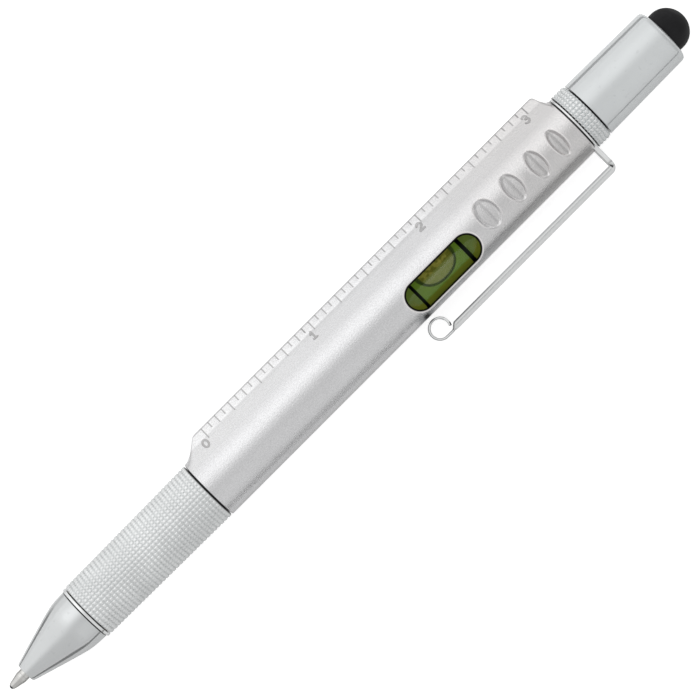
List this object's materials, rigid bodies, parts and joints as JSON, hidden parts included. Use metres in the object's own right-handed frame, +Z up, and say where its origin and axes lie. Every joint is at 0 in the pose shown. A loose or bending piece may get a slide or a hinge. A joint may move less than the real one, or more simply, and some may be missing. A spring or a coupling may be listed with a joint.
{
  "type": "multi tool pen",
  "caption": "Twist ballpoint pen with a ruled flange, spirit level, sprung pocket clip, and a screw cap with a stylus that covers a two-ended screwdriver bit.",
  "frame": {"origin": "under the middle of the pen's length and width, on the surface that it lies on with the level window up", "axes": "+X along the pen from the ball point to the stylus, +Y towards the ruled flange, +Z up through the level window"},
  "size_m": [0.1598, 0.0186, 0.0114],
  "materials": {
    "satin_silver": "satin silver paint over metal, fine grain",
    "knurled_chrome": "knurled bright plate",
    "nose_chrome": "polished plate",
    "cap_chrome": "polished plate",
    "clip_chrome": "polished plate over spring steel",
    "brass": "turned",
    "spring_steel": "drawn",
    "tool_steel": "hardened, ground",
    "refill_steel": "drawn tube",
    "nickel_silver": "turned, bright",
    "ball_carbide": "ground ball",
    "magnet": "plated",
    "white_plastic": "moulded",
    "black_plastic": "moulded",
    "olive_plastic": "moulded",
    "black_line": "printed ring",
    "black_rubber": "moulded",
    "stylus_rubber": "soft conductive rubber",
    "clear_vial": "clear moulded",
    "level_fluid": "coloured fluid"
  },
  "bodies": {
    "barrel": {"barrel": "satin_silver", "barrel_bush": "black_plastic", "cam_sleeve": "white_plastic", "mechanism_plug": "black_plastic", "vial_cradle": "olive_plastic", "vial_tube": "clear_vial", "vial_plug": "olive_plastic", "vial_fluid": "level_fluid", "gauge_ring_front": "black_line", "gauge_ring_rear": "black_line", "bit_holder": "knurled_chrome", "hex_insert": "tool_steel", "bit_magnet": "magnet", "seal_ring": "black_rubber", "clip_ring": "clip_chrome"},
    "grip": {"nose_cone": "nose_chrome", "nose_ring": "nose_chrome", "grip_sleeve": "knurled_chrome", "grip_liner": "brass", "liner_snap_ring": "spring_steel", "return_spring": "spring_steel"},
    "refill": {"tip_ball": "ball_carbide", "refill_point": "nickel_silver", "refill_tube": "refill_steel", "follower": "white_plastic", "follower_pin": "tool_steel"},
    "bit": {"screwdriver_bit": "tool_steel"},
    "cap_thread": {"cap_insert": "brass"},
    "cap": {"cap_shell": "cap_chrome", "stylus_plug": "black_plastic", "stylus_tip": "stylus_rubber"},
    "clip": {"clip_arm": "clip_chrome"}
  },
  "joints": [
    {"name": "grip_twist", "type": "hinge", "parent": "barrel", "child": "grip", "pos_m": [-0.03293, 0.00089, 0.00572], "axis": [1, 0, 0], "range_deg": [0, 180]},
    {"name": "refill_slide", "type": "slide", "parent": "grip", "child": "refill", "axis": [1, 0, 0], "range_m": [0, 0.0048], "deforming": ["return_spring"]},
    {"name": "bit_draw", "type": "slide", "parent": "barrel", "child": "bit", "axis": [1, 0, 0], "range_m": [0, 0.019]},
    {"name": "cap_lift", "type": "slide", "parent": "bit", "child": "cap_thread", "axis": [1, 0, 0], "range_m": [0, 0.024]},
    {"name": "cap_turn", "type": "hinge", "parent": "cap_thread", "child": "cap", "pos_m": [0.06607, 0.00089, 0.00572], "axis": [1, 0, 0], "range_deg": [0, 1800]},
    {"name": "clip_flex", "type": "hinge", "parent": "barrel", "child": "clip", "pos_m": [0.05368, -0.00793, 0.00572], "axis": [0, 0, 1], "range_deg": [0, 5], "stiffness_Nm_per_rad": 2.4}
  ],
  "couplings": [
    {"joint": "refill_slide", "follows": "grip_twist", "m_per_rad": 0.0015279},
    {"joint": "cap_turn", "follows": "cap_lift", "rad_per_m": 1309}
  ]
}
